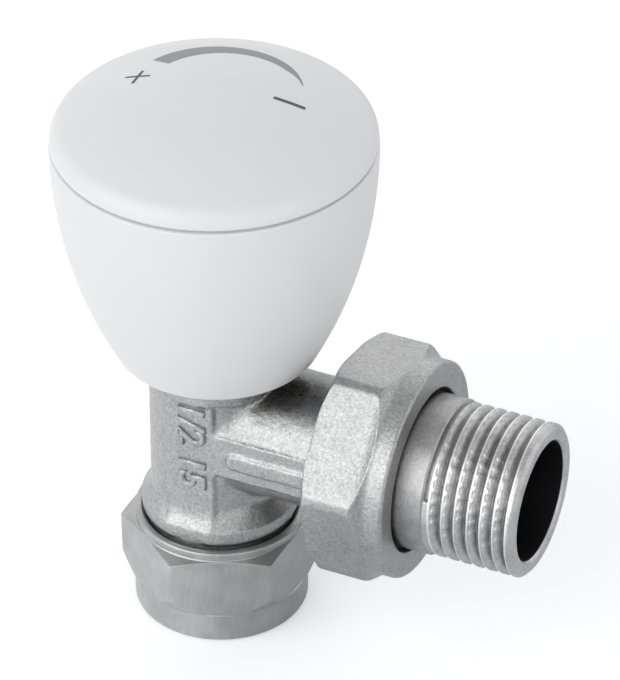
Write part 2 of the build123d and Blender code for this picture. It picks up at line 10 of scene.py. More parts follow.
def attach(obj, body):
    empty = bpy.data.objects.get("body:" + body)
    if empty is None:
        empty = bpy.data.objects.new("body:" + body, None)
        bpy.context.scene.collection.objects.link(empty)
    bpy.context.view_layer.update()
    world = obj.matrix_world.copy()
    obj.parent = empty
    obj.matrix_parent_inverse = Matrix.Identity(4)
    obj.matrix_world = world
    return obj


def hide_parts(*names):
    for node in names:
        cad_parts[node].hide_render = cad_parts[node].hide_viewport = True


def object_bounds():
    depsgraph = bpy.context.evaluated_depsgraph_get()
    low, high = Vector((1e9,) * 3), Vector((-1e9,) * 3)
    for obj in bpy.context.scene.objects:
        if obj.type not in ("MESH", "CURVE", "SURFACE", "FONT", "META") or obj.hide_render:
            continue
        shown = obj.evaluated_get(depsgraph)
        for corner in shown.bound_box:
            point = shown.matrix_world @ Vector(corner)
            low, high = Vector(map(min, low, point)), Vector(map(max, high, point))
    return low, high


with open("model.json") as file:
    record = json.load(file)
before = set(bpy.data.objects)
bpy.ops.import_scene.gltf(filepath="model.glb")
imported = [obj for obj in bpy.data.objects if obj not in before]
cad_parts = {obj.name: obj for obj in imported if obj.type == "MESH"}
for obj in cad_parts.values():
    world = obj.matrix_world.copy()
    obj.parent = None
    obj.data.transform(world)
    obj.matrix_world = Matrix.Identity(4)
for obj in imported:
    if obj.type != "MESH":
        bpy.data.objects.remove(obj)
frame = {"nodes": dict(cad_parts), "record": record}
cad_low, cad_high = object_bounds()
nodes = frame["nodes"]

# Sizes of the valve are in millimetres, and MM turns them into metres. Lamps and floor are in metres.
MM = 0.001
# Height of the branch's axis
BRANCH_Z = 29.8
# The tail's thread: its radius over the crests, length of one turn, and where a crest passes the top
THREAD_R = 10.4775
THREAD_PITCH = 1.8143
THREAD_PHASE = 34.9
# Least roughness of the nickel: smoother metal loses its grain to the denoiser
LEAST_ROUGHNESS = 0.29


# Node wiring


class Wire:
    """A number in a node tree. Sums, products and roots of wires add Math nodes to that tree."""

    def __init__(self, tree, socket):
        self.tree = tree
        self.socket = socket

    def math(self, operation, *others):
        return math_node(self.tree, operation, self, *others)

    def __add__(self, other):
        return self.math("ADD", other)

    def __sub__(self, other):
        return self.math("SUBTRACT", other)

    def __rsub__(self, other):
        return math_node(self.tree, "SUBTRACT", other, self)

    def __mul__(self, other):
        return self.math("MULTIPLY", other)

    def __truediv__(self, other):
        return self.math("DIVIDE", other)

    def __rtruediv__(self, other):
        return math_node(self.tree, "DIVIDE", other, self)

    def __neg__(self):
        return self.math("MULTIPLY", -1.0)

    def __abs__(self):
        return self.math("ABSOLUTE")

    __radd__ = __add__
    __rmul__ = __mul__

    def least(self, *others):
        found = self
        for other in others:
            found = found.math("MINIMUM", other)
        return found

    def most(self, *others):
        found = self
        for other in others:
            found = found.math("MAXIMUM", other)
        return found

    def blend_least(self, other, width):
        return self.math("SMOOTH_MIN", other, width)

    def blend_most(self, other, width):
        return self.math("SMOOTH_MAX", other, width)

    def within(self, low, high):
        return self.math("MAXIMUM", low).math("MINIMUM", high)

    def step(self, low, high):
        """0 below low and 1 above high, eased between them."""
        node = self.tree.nodes.new("ShaderNodeMapRange")
        node.interpolation_type = "SMOOTHSTEP"
        join(self.tree, self, node.inputs["Value"])
        join(self.tree, low, node.inputs["From Min"])
        join(self.tree, high, node.inputs["From Max"])
        return Wire(self.tree, node.outputs["Result"])


def join(tree, value, entry):
    if isinstance(value, Wire):
        tree.links.new(value.socket, entry)
    else:
        entry.default_value = value


def math_node(tree, operation, *values):
    node = tree.nodes.new("ShaderNodeMath")
    node.operation = operation
    for value, entry in zip(values, node.inputs):
        join(tree, value, entry)
    return Wire(tree, node.outputs[0])


def length_of(*wires):
    total = wires[0] * wires[0]
    for wire in wires[1:]:
        total = total + wire * wire
    return total.math("SQRT")


# Finishes


def new_finish(name, **sockets):
    """A Principled material with its steady values on the shader's own sockets."""
    material = bpy.data.materials.new(name)
    material.use_nodes = True
    shader = material.node_tree.nodes["Principled BSDF"]
    for label, value in sockets.items():
        shader.inputs[label.replace("_", " ")].default_value = value
    return material, material.node_tree, shader


def object_point(tree, scale):
    """Object coordinates times scale, which is in cells per millimetre along each axis."""
    place = tree.nodes.new("ShaderNodeTexCoord")
    mapping = tree.nodes.new("ShaderNodeMapping")
    mapping.inputs["Scale"].default_value = [s / MM for s in scale]
    tree.links.new(place.outputs["Object"], mapping.inputs["Vector"])
    return mapping.outputs["Vector"]


def noise(tree, scale, detail=2.0, roughness=0.5):
    """Noise with that many cells per millimetre, the same each way or one number for each axis."""
    scale = scale if isinstance(scale, tuple) else (scale,) * 3
    node = tree.nodes.new("ShaderNodeTexNoise")
    node.inputs["Scale"].default_value = 1.0
    node.inputs["Detail"].default_value = detail
    node.inputs["Roughness"].default_value = roughness
    tree.links.new(object_point(tree, scale), node.inputs["Vector"])
    return Wire(tree, node.outputs["Fac"])


def object_place(tree):
    """Object coordinates in millimetres as three wires."""
    place = tree.nodes.new("ShaderNodeTexCoord")
    parts = tree.nodes.new("ShaderNodeSeparateXYZ")
    tree.links.new(place.outputs["Object"], parts.inputs["Vector"])
    return [Wire(tree, parts.outputs[axis]) * (1 / MM) for axis in "XYZ"]


def grains(tree, scale):
    """A grey value for each cell of a fine irregular grain."""
    node = tree.nodes.new("ShaderNodeTexVoronoi")
    node.inputs["Scale"].default_value = 1.0
    tree.links.new(object_point(tree, (scale,) * 3), node.inputs["Vector"])
    parts = tree.nodes.new("ShaderNodeSeparateColor")
    tree.links.new(node.outputs["Color"], parts.inputs["Color"])
    return Wire(tree, parts.outputs["Red"])


def tint(tree, shader, dark, light, share, socket="Base Color"):
    """Colour between dark and light by a wire from 0 to 1."""
    node = tree.nodes.new("ShaderNodeMix")
    node.data_type = "RGBA"
    for entry in node.inputs:
        if entry.identifier == "A_Color":
            entry.default_value = (*dark, 1.0)
        if entry.identifier == "B_Color":
            entry.default_value = (*light, 1.0)
        if entry.identifier == "Factor_Float":
            join(tree, share, entry)
    result = [o for o in node.outputs if o.identifier == "Result_Color"][0]
    tree.links.new(result, shader.inputs[socket])


def bump(tree, shader, height, depth):
    """Bump from a wire, with depth in millimetres for a height of one."""
    node = tree.nodes.new("ShaderNodeBump")
    node.inputs["Strength"].default_value = 1.0
    node.inputs["Distance"].default_value = depth * MM
    join(tree, height, node.inputs["Height"])
    tree.links.new(node.outputs["Normal"], shader.inputs["Normal"])


def forged_nickel():
    """Nickel plate over grit-blasted forged brass, with a coarse sparkle.

    Painted shade darkens the top of the branch just below the cup, standing in for the cup's shaded
    underside mirrored there.
    """
    material, tree, shader = new_finish("forged_nickel", Metallic=1.0)
    grain = noise(tree, 2.6, detail=3.0, roughness=0.7)
    facet = grains(tree, 4.2)
    waves = noise(tree, 0.35, detail=2.0)
    x, _, z = object_place(tree)
    # Painted shade: the top of the branch below the cup is darkened by up to 45 per cent.
    above_branch = (z + (waves - 0.5) * 3.0).step(36.4, 38.0)
    painted_shade_below_cup = above_branch * x.step(7.5, 9.5) * x.step(19.2, 18.7)
    tone = ((grain - 0.5) * 1.4 + facet * 0.4 + waves * 0.4 + 0.04).within(0.0, 1.0)
    plate = (tone * 0.52 + 0.48) * (1.0 - painted_shade_below_cup * 0.45)
    tint(tree, shader, (0.015, 0.015, 0.016), (0.57, 0.571, 0.572), plate)
    join(tree, grain * 0.1 + LEAST_ROUGHNESS, shader.inputs["Roughness"])
    bump(tree, shader, grain + facet * 0.25 + waves * 0.8, depth=0.06)
    return material


def turned_nickel():
    """Nickel plate over turned brass: fine lines along Z and a faint grain."""
    material, tree, shader = new_finish("turned_nickel", Metallic=1.0)
    lines = noise(tree, (7.0, 7.0, 0.45), detail=2.0)
    grain = noise(tree, 4.0, detail=2.0)
    clouds = noise(tree, 0.3, detail=2.0)
    tone = (lines - 0.5) * 0.9 + (grain - 0.5) * 0.6 + clouds
    tint(tree, shader, (0.347, 0.348, 0.35), (0.525, 0.526, 0.527), tone.within(0.0, 1.0))
    join(tree, lines * 0.15 + LEAST_ROUGHNESS, shader.inputs["Roughness"])
    bump(tree, shader, lines + grain * 0.8, depth=0.012)
    return material


def cut_nickel():
    """Nickel plate on the turned tail: painted crest highlights, painted shade in the grooves, on the neck
    and in the dull bore.
    """
    material, tree, shader = new_finish("cut_nickel", Metallic=1.0)
    grain = noise(tree, 3.4, detail=3.0, roughness=0.7)
    clouds = noise(tree, 0.5, detail=2.0)
    x, y, z = object_place(tree)
    around = length_of(y, z - BRANCH_Z)
    # Ramps in millimetres: the bore's wall, the thread's two ends, the depth of a groove, the crest's edge
    outside = around.step(8.22, 8.28)
    thread = x.step(34.1, 34.4) * x.step(46.3, 46.0)
    # Painted shade: the thread's grooves are painted darker.
    groove = around.step(10.25, 9.6) * thread
    turns = (x - THREAD_PHASE) / THREAD_PITCH - (-y).math("ARCTAN2", z - BRANCH_Z) / (2 * pi)
    past_crest = ((turns + 0.5).math("FRACT") - 0.5) * THREAD_PITCH
    # Painted highlight: a bright line along the edge of each crest.
    painted_crest_highlight = abs(past_crest + 0.25).step(0.17, 0.08) * around.step(10.15, 10.3) * thread
    # Painted shade: the neck between the union nut and the thread is painted darker.
    neck = x.step(34.4, 34.1)
    tone = ((grain - 0.5) * 1.6 + clouds).within(0.0, 1.0)
    plate = (tone * 0.32 + 0.37) * (1.1 - neck * 0.32 - groove * 0.42) + painted_crest_highlight * 0.45
    # Painted shade: inside the bore, where outside is 0, the colour falls to near black.
    tint(tree, shader, (0.03, 0.03, 0.033), (0.9, 0.9, 0.9), outside * plate)
    join(tree, grain * 0.1 + 0.5 - outside * 0.21, shader.inputs["Roughness"])
    bump(tree, shader, grain, depth=0.045)
    return material


def moulded_white():
    """Satin white moulded plastic with a faint flow texture."""
    material, tree, shader = new_finish("moulded_white", IOR=1.5)
    skin = noise(tree, 0.3, detail=2.0)
    flow = noise(tree, (0.05, 0.05, 0.12), detail=1.0)
    tint(tree, shader, (0.80, 0.805, 0.815), (0.84, 0.842, 0.848), skin * 0.4 + flow * 0.6)
    join(tree, skin * 0.1 + 0.3, shader.inputs["Roughness"])
    bump(tree, shader, skin, depth=0.012)
    return material


def turned_brass():
    """Bare turned brass with fine rings of tool marks."""
    material, tree, shader = new_finish("turned_brass", Metallic=1.0)
    lines = noise(tree, (0.6, 0.6, 9.0), detail=2.0)
    clouds = noise(tree, 0.4, detail=2.0)
    tint(tree, shader, (0.55, 0.38, 0.16), (0.78, 0.60, 0.30), lines * 0.5 + clouds * 0.5)
    join(tree, lines * 0.2 + 0.3, shader.inputs["Roughness"])
    bump(tree, shader, lines, depth=0.008)
    return material


def sealing_rubber():
    """Black moulded rubber with a fine matt skin."""
    material, tree, shader = new_finish("sealing_rubber", IOR=1.5)
    skin = noise(tree, 6.0, detail=3.0)
    tint(tree, shader, (0.012, 0.012, 0.013), (0.03, 0.03, 0.031), skin)
    join(tree, skin * 0.2 + 0.5, shader.inputs["Roughness"])
    bump(tree, shader, skin, depth=0.01)
    return material


def sealing_fibre():
    """Pressed red-brown fibre with short flecks."""
    material, tree, shader = new_finish("sealing_fibre", IOR=1.45)
    flecks = noise(tree, (3.0, 3.0, 9.0), detail=4.0, roughness=0.7)
    tint(tree, shader, (0.20, 0.055, 0.035), (0.40, 0.15, 0.10), flecks)
    join(tree, flecks * 0.2 + 0.65, shader.inputs["Roughness"])
    bump(tree, shader, flecks, depth=0.02)
    return material


def bearing_plastic():
    """Slippery white bearing plastic."""
    material, tree, shader = new_finish("bearing_plastic", IOR=1.38)
    skin = noise(tree, 4.0, detail=2.0)
    tint(tree, shader, (0.78, 0.78, 0.75), (0.86, 0.86, 0.83), skin)
    join(tree, skin * 0.15 + 0.4, shader.inputs["Roughness"])
    bump(tree, shader, skin, depth=0.004)
    return material


def zinc_steel():
    """Zinc-plated steel screws."""
    material, tree, shader = new_finish("zinc_steel", Metallic=1.0)
    clouds = noise(tree, 1.5, detail=3.0)
    tint(tree, shader, (0.42, 0.43, 0.45), (0.62, 0.63, 0.64), clouds)
    join(tree, clouds * 0.2 + 0.3, shader.inputs["Roughness"])
    bump(tree, shader, clouds, depth=0.01)
    return material


def printed_ink(name, dark, light):
    """Pad-printed ink, slightly uneven in cover."""
    material, tree, shader = new_finish(name, IOR=1.48)
    cover = noise(tree, 1.2, detail=3.0)
    tint(tree, shader, dark, light, cover)
    join(tree, cover * 0.15 + 0.42, shader.inputs["Roughness"])
    bump(tree, shader, cover, depth=0.002)
    return material


# Meshes


def rounded_loop(corners, spacing, arc_steps=5):
    """Points of a closed outline of (radius, height, corner round) in millimetres.

    spacing gives the longest step between two neighbouring points.
    """
    points = []
    count = len(corners)
    for i in range(count):
        before = np.array(corners[i - 1][:2])
        here = np.array(corners[i][:2])
        after = np.array(corners[(i + 1) % count][:2])
        size = corners[i][2]
        if not size:
            points.append(here)
            continue
        back = (before - here) / np.linalg.norm(before - here)
        ahead = (after - here) / np.linalg.norm(after - here)
        half = acos(np.clip(back @ ahead, -1, 1)) / 2
        reach = size / tan(half)
        middle = here + (back + ahead) / np.linalg.norm(back + ahead) * size / sin(half)
        start = here + back * reach - middle
        end = here + ahead * reach - middle
        turn = pi - 2 * half
        for k in range(arc_steps + 1):
            t = k / arc_steps
            points.append(middle + (start * sin((1 - t) * turn) + end * sin(t * turn)) / sin(turn))
    loop = []
    for i in range(len(points)):
        here, after = points[i], points[(i + 1) % len(points)]
        steps = max(1, int(np.ceil(np.linalg.norm(after - here) / spacing(here, after))))
        loop += [here + (after - here) * k / steps for k in range(steps)]
    return np.array(loop)


def turned_ring(name, loop, columns):
    """Closed ring about Z from an outline of (radius, height) in millimetres."""
    angle = np.arange(columns) * 2 * pi / columns
    radius, height = loop[:, :1] * MM, loop[:, 1:] * MM
    across, aside = radius * np.cos(angle), radius * np.sin(angle)
    level = np.broadcast_to(height, across.shape)
    points = np.stack([across, aside, level], axis=-1).reshape(-1, 3)
    row = np.arange(len(loop))[:, None] * columns
    row_next = np.roll(row, -1, axis=0)
    column = np.arange(columns)[None, :]
    column_next = np.roll(column, -1, axis=1)
    faces = np.stack([row + column, row + column_next, row_next + column_next, row_next + column], axis=-1)
    mesh = bpy.data.meshes.new(name)
    mesh.from_pydata(points.tolist(), [], faces.reshape(-1, 4).tolist())
    shape = bmesh.new()
    shape.from_mesh(mesh)
    bmesh.ops.recalc_face_normals(shape, faces=shape.faces)
    shape.to_mesh(mesh)
    shape.free()
    mesh.shade_smooth()
    return add_object(name, mesh)


def add_object(name, mesh):
    piece = bpy.data.objects.new(name, mesh)
    bpy.context.scene.collection.objects.link(piece)
    return piece


def onto_branch(piece):
    """Lays a piece made about Z along the branch, with its angle zero upwards."""
    lift = Matrix.Translation((0, 0, BRANCH_Z * MM))
    lay = Matrix(((0, 0, 1, 0), (0, -1, 0, 0), (1, 0, 0, 0), (0, 0, 0, 1)))
    piece.data.transform(lift @ lay)


# Geometry Nodes


class Rule:
    """A Geometry Nodes tree with named sizes, made into a plain mesh by cut()."""

    def __init__(self, name, sizes):
        self.tree = bpy.data.node_groups.new(name, "GeometryNodeTree")
        face = self.tree.interface
        face.new_socket("Geometry", in_out="INPUT", socket_type="NodeSocketGeometry")
        for label in sizes:
            face.new_socket(label, in_out="INPUT", socket_type="NodeSocketFloat")
        face.new_socket("Finish", in_out="INPUT", socket_type="NodeSocketMaterial")
        face.new_socket("Geometry", in_out="OUTPUT", socket_type="NodeSocketGeometry")
        self.enter = self.tree.nodes.new("NodeGroupInput")
        self.leave = self.tree.nodes.new("NodeGroupOutput")

    def node(self, kind, **links):
        made = self.tree.nodes.new(kind)
        for label, value in links.items():
            entry = made.inputs[label.replace("_", " ")]
            if isinstance(value, bpy.types.NodeSocket):
                self.tree.links.new(value, entry)
            else:
                join(self.tree, value, entry)
        return made

    def size(self, label):
        return Wire(self.tree, self.enter.outputs[label])

    def position(self):
        """Position in millimetres as three wires."""
        parts = self.node("ShaderNodeSeparateXYZ", Vector=self.node("GeometryNodeInputPosition").outputs[0])
        return [Wire(self.tree, parts.outputs[axis]) * (1 / MM) for axis in "XYZ"]

    def point(self, x, y, z):
        """Vector in metres from wires in millimetres."""
        return self.node("ShaderNodeCombineXYZ", X=x * MM, Y=y * MM, Z=z * MM).outputs[0]

    def end(self, geometry):
        """Last nodes of every tree: real mesh, smooth shading and the finish."""
        real = self.node("GeometryNodeRealizeInstances", Geometry=geometry).outputs[0]
        smooth = self.node("GeometryNodeSetShadeSmooth", Geometry=real).outputs[0]
        done = self.node("GeometryNodeSetMaterial", Geometry=smooth, Material=self.enter.outputs["Finish"])
        self.tree.links.new(done.outputs[0], self.leave.inputs["Geometry"])

    def cut(self, piece, finish, **sizes):
        """Runs the tree on a piece and leaves the piece with a plain mesh."""
        modifier = piece.modifiers.new(self.tree.name, "NODES")
        modifier.node_group = self.tree
        for item in self.tree.interface.items_tree:
            if item.item_type != "SOCKET" or item.in_out != "INPUT":
                continue
            if item.name == "Finish":
                modifier[item.identifier] = finish
            elif item.name in sizes:
                modifier[item.identifier] = float(sizes[item.name])
        view = bpy.context.evaluated_depsgraph_get()
        mesh = bpy.data.meshes.new_from_object(piece.evaluated_get(view))
        piece.modifiers.remove(modifier)
        blank = piece.data
        piece.data = mesh
        bpy.data.meshes.remove(blank)
        mesh.name = piece.name


def hexagon_rule():
    """Presses six flats into a round blank about Z, with run-outs at both ends of the flats."""
    rule = Rule("press_hexagon", ["flats", "turn", "low", "high", "runout", "softness"])
    x, y, z = rule.position()
    radius = length_of(x, y)
    angle = y.math("ARCTAN2", x)
    aside = (angle - rule.size("turn") - pi / 6).math("WRAP", pi / 6, -pi / 6)
    flat = rule.size("flats") * 0.5 / aside.math("COSINE")
    past = (z - rule.size("high")).most(rule.size("low") - z, 0.0)
    flat = flat + past * past / (2.0 * rule.size("runout"))
    pressed = radius.blend_least(flat, rule.size("softness"))
    share = pressed / radius
    place = rule.point(x * share, y * share, z)
    moved = rule.node("GeometryNodeSetPosition", Geometry=rule.enter.outputs[0], Position=place)
    rule.end(moved.outputs[0])
    return rule


def thread_rule():
    """Cuts a right-hand pipe thread into a round blank about Z.

    Rows of the blank that lie near a crest's edge or a groove's root slide onto it, so both run clean.
    The crests carry notches on their outer edge, and a short relief cut parts the thread from the neck.
    """
    sizes = ["pitch", "depth", "land", "row", "phase", "start", "high"]
    sizes += ["notches", "notch_depth", "radius", "relief"]
    rule = Rule("cut_thread", sizes)
    size = {label: rule.size(label) for label in sizes}
    bevel_width = 0.16
    bevel_slope = 0.6
    bevel_depth = 0.1
    nicked_share = 0.8
    relief_depth = 0.75
    x, y, z = rule.position()
    radius = length_of(x, y)
    angle = y.math("ARCTAN2", x) / (2 * pi)
    turns = (z - size["phase"]) / size["pitch"] - angle
    past_crest = ((turns + 0.5).math("FRACT") - 0.5) * size["pitch"]
    away = abs(past_crest)
    edge, root = size["land"] * 0.5, size["pitch"] * 0.5
    # The cut fades in over a tenth of a turn and out over the last part of a pitch.
    helix = turns.math("FLOOR") + angle
    start = helix.step(size["start"], size["start"] + 0.1)
    finish = (size["high"] - z).step(0.0, size["pitch"] * 0.3)
    outside = radius.step(size["radius"] - 0.35, size["radius"] - 0.25)
    mask = outside * start * finish
    slide = 0.0
    for line in (edge, root):
        miss = line - away
        slide = miss * abs(miss).math("LESS_THAN", size["row"] * 0.5) + slide
    slide = slide * past_crest.math("SIGN") * mask
    groove = ((away + slide * past_crest.math("SIGN") - edge) / (root - edge)).within(0.0, 1.0)
    bevel = (-past_crest - edge + bevel_width).within(0.0, bevel_width) * bevel_slope
    beat = abs((angle * size["notches"]).math("FRACT") - 0.5)
    tooth = (angle * size["notches"]).math("FLOOR") + turns.math("ROUND") * size["notches"]
    which = rule.node("ShaderNodeCombineXYZ", X=tooth).outputs[0]
    uneven = Wire(rule.tree, rule.node("ShaderNodeTexWhiteNoise", Vector=which).outputs["Value"])
    notch = beat.step(0.34, 0.2) * past_crest.step(0.0, 0.2) * (uneven * 0.8 + 0.2)
    plain = groove * (size["depth"] - bevel_depth) + bevel
    nicked = notch * size["notch_depth"] + groove * size["depth"] * nicked_share
    cut = plain.most(nicked) * mask
    # The relief reaches a fifth of a turn to each side of the top.
    beside_neck = abs(z - size["relief"]).step(0.34, 0.18)
    beside_neck = beside_neck * angle.step(-0.2, -0.16) * angle.step(0.204, 0.2)
    cut = cut.most(beside_neck * outside * relief_depth)
    share = (radius - cut) / radius
    place = rule.point(x * share, y * share, z + slide)
    moved = rule.node("GeometryNodeSetPosition", Geometry=rule.enter.outputs[0], Position=place)
    rule.end(moved.outputs[0])
    return rule


# Walls of the elbow: heights up the column, and reaches along the branch
COLLAR_LOW = 15.3
COLLAR_TOP = 17.4
PAD_LOW = 16.2
PAD_TOP = 37.5
HEAD_RING_LOW = 37.6
COLUMN_TOP = 44.3
BRANCH_END = 19.5
RIB_START = 6.5
RIB_END = 19.2
# Small sizes on those walls
HOLLOW_DEPTH = 0.35
HEAD_RING_STEP = 0.2
PAD_SINK = 0.1
RIB_HALF_WIDTH = 1.3
RIB_HEIGHT = 0.5
LUMP_HEIGHT = 0.25
# Fillets and rounded edges
WIDE_FILLET = 0.8
SMALL_FILLET = 0.3
PAD_EDGE = 0.6
RIB_EDGE = 1.0
# Plain cylinders that stand for the threads, and the water ways inside
PIPE_THREAD_R = 10.2
PIPE_THREAD_LOW = 7.1
PIPE_THREAD_TOP = 15.7
UNION_THREAD_R = 12.6
UNION_THREAD_START = 19.4
UNION_THREAD_END = 25.8
SEAT_LIP_R = 6.3
SEAT_LIP_TOP = 24.6
SOCKET_R = 7.6
SOCKET_TOP = 17.5
OLIVE_CONE_R = 8.8
OLIVE_CONE_SLOPE = 0.3
OLIVE_CONE_TOP = 9.6
INLET_R = 5.2
INLET_TOP = 25.0
CHAMBER_R = 7.4
CHAMBER_LOW = 23.6
OUTLET_R = 6.0
TAIL_CONE_R = 9.35
TAIL_CONE_START = 20.0


def forging_rule():
    """Forged elbow as a solid rule: every wall is a distance, and blends of distances are its fillets."""
    sizes = ["column", "branch", "collar", "pad", "strip", "bar", "crotch", "sweep", "voxel"]
    rule = Rule("forge_elbow", sizes)
    size = {label: rule.size(label) for label in sizes}
    x, y, z = rule.position()
    side = abs(y)
    rise = z - BRANCH_Z
    radius = length_of(x, y)
    around = length_of(y, rise)
    flare = 1.0 - ((z - COLLAR_TOP) / size["sweep"]).within(0.0, 1.0)
    foot = flare * flare * (size["collar"] - size["column"])
    # Above the collar the column is a little slimmer on the branch side of the strip.
    hollow = x.step(3.0, 3.5) * z.step(18.0, 20.5) * HOLLOW_DEPTH
    column = (radius - size["column"] - foot + hollow).blend_most(COLLAR_LOW - z, WIDE_FILLET)
    column = column.most(z - COLUMN_TOP)
    branch = (around - size["branch"]).most(x - BRANCH_END, -x)
    body = column.blend_least(branch, size["crotch"])
    head_ring = (radius - size["column"] - HEAD_RING_STEP).most(HEAD_RING_LOW - z, z - COLUMN_TOP)
    tee = (abs(x) - size["strip"]).blend_least((abs(rise) - size["bar"]).most(-x), WIDE_FILLET)
    tee = tee.blend_most(z - PAD_TOP, SMALL_FILLET)
    face = size["pad"] + foot - PAD_SINK
    body = body.most(-tee.most(face - side))
    pad = tee.blend_most(side - face, PAD_EDGE).most(x - BRANCH_END, PAD_LOW - z)
    body = body.blend_least(pad, SMALL_FILLET)
    body = body.least(head_ring)
    rib = length_of(x - x.within(RIB_START, RIB_END), rise) - RIB_HALF_WIDTH
    rib = rib.blend_most(side - size["pad"] - RIB_HEIGHT, RIB_EDGE).most(x - BRANCH_END)
    body = body.blend_least(rib, SMALL_FILLET)
    texture = rule.node("ShaderNodeTexNoise", Scale=520.0, Detail=2.0)
    lumps = Wire(rule.tree, texture.outputs["Fac"]) - 0.5
    body = body + lumps * z.step(16.5, 19.0) * LUMP_HEIGHT
    pipe_thread = (radius - PIPE_THREAD_R).most(PIPE_THREAD_LOW - z, z - PIPE_THREAD_TOP)
    union_thread = (around - UNION_THREAD_R).most(UNION_THREAD_START - x, x - UNION_THREAD_END)
    body = body.least(pipe_thread, union_thread)
    lip = (radius - SEAT_LIP_R).most(z - SEAT_LIP_TOP)
    socket = (radius - SOCKET_R).most(z - SOCKET_TOP)
    taper = (z - PIPE_THREAD_LOW) * OLIVE_CONE_SLOPE
    olive_cone = (radius - OLIVE_CONE_R + taper).most(z - OLIVE_CONE_TOP)
    inlet = (radius - INLET_R).most(z - INLET_TOP)
    chamber = (radius - CHAMBER_R).most(CHAMBER_LOW - z, -lip)
    outlet = (around - OUTLET_R).most(-x, -lip)
    tail_cone = (around - TAIL_CONE_R + (UNION_THREAD_END - x)).most(TAIL_CONE_START - x)
    cavity = socket.least(olive_cone, inlet, chamber, outlet, tail_cone)
    body = body.most(-cavity)
    # Corners of the block that holds the elbow
    low, high = (-11.3, -13.2, 6.6), (26.4, 13.2, 44.9)
    cube = rule.node(
        "GeometryNodeVolumeCube",
        Density=-body,
        Background=-1.0,
        Min=[v * MM for v in low],
        Max=[v * MM for v in high],
    )
    for axis, a, b in zip("XYZ", low, high):
        join(rule.tree, (b - a) / size["voxel"], cube.inputs[f"Resolution {axis}"])
    skin = rule.node("GeometryNodeVolumeToMesh", Volume=cube.outputs[0], Threshold=0.0)
    rule.end(skin.outputs[0])
    return rule


# Pieces

finishes = {
    "forged_nickel": forged_nickel(),
    "turned_nickel": turned_nickel(),
    "bare_brass": turned_brass(),
    "seal_rubber": sealing_rubber(),
    "seal_fibre": sealing_fibre(),
    "slip_plastic": bearing_plastic(),
    "screw_steel": zinc_steel(),
    "white_plastic": moulded_white(),
}
thread_finish = cut_nickel()
mark_ink = printed_ink("mark_ink", (0.07, 0.075, 0.085), (0.10, 0.105, 0.115))
arc_ink = printed_ink("arc_ink", (0.27, 0.275, 0.29), (0.33, 0.335, 0.345))

for part in frame["record"]["subparts"]:
    slots = nodes[part["node"]].data.materials
    slots.clear()
    slots.append(finishes[part["material_slot"]])

press_hexagon = hexagon_rule()
cut_thread = thread_rule()
forge_elbow = forging_rule()


def settle(piece, body, node):
    """Says which body a piece rides on, and hides the CAD solid it stands for, if any."""
    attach(piece, body)
    if node:
        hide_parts(node)


def finer_outside(radius, fine, coarse=0.8):
    """Spacing for rounded_loop: fine outside that radius and coarse inside it."""
    return lambda a, b: fine if min(a[0], b[0]) > radius else coarse


def make_elbow():
    piece = add_object("forged_elbow", bpy.data.meshes.new("forged_elbow"))
    forge_elbow.cut(
        piece, finishes["forged_nickel"],
        column=9.3, branch=9.0, collar=10.65, pad=8.95, strip=3.4, bar=3.3,
        crotch=1.5, sweep=3.2, voxel=0.29,
    )
    settle(piece, "body", "valve_body")


def make_compression_nut():
    loop = rounded_loop(
        [
            (7.6, 0, 0.2), (11.9, 0, 0.7), (11.9, 4.35, 0.05), (11.72, 4.5, 0.05), (11.9, 4.65, 0.05),
            (12.3, 4.7, 0.1), (13.55, 6.95, 0.3), (13.62, 12.92, 0.12), (11.8, 13.6, 0.12),
            (11.65, 13.75, 0.1), (11.65, 14.85, 0.3), (10.8, 14.9, 0.12), (10.3, 14.3, 0.1),
            (10.3, 5.5, 0), (8.8, 5.5, 0), (8.05, 3.0, 0), (7.6, 3.0, 0.1),
        ],
        finer_outside(radius=11.4, fine=0.16),
    )
    piece = turned_ring("hexagon_compression_nut", loop, columns=432)
    press_hexagon.cut(
        piece, finishes["turned_nickel"],
        flats=23.7, turn=radians(24.7), low=4.6, high=30.0, runout=0.4, softness=0.12,
    )
    settle(piece, "compression_nut", "compression_nut")


def make_union_nut():
    loop = rounded_loop(
        [
            (12.7, 18.8, 0.3), (14.9, 18.8, 0.3), (16.32, 19.6, 0.6), (16.32, 26.4, 0.8), (14.95, 27.6, 1.2),
            (14.9, 30.35, 0.5), (11.3, 30.35, 0.3), (11.3, 27.95, 0), (12.7, 27.95, 0),
        ],
        finer_outside(radius=14.2, fine=0.14),
    )
    piece = turned_ring("hexagon_union_nut", loop, columns=480)
    press_hexagon.cut(
        piece, finishes["forged_nickel"],
        flats=28.8, turn=radians(19.9), low=0.0, high=25.4, runout=4.0, softness=0.25,
    )
    onto_branch(piece)
    settle(piece, "union_nut", "union_nut")


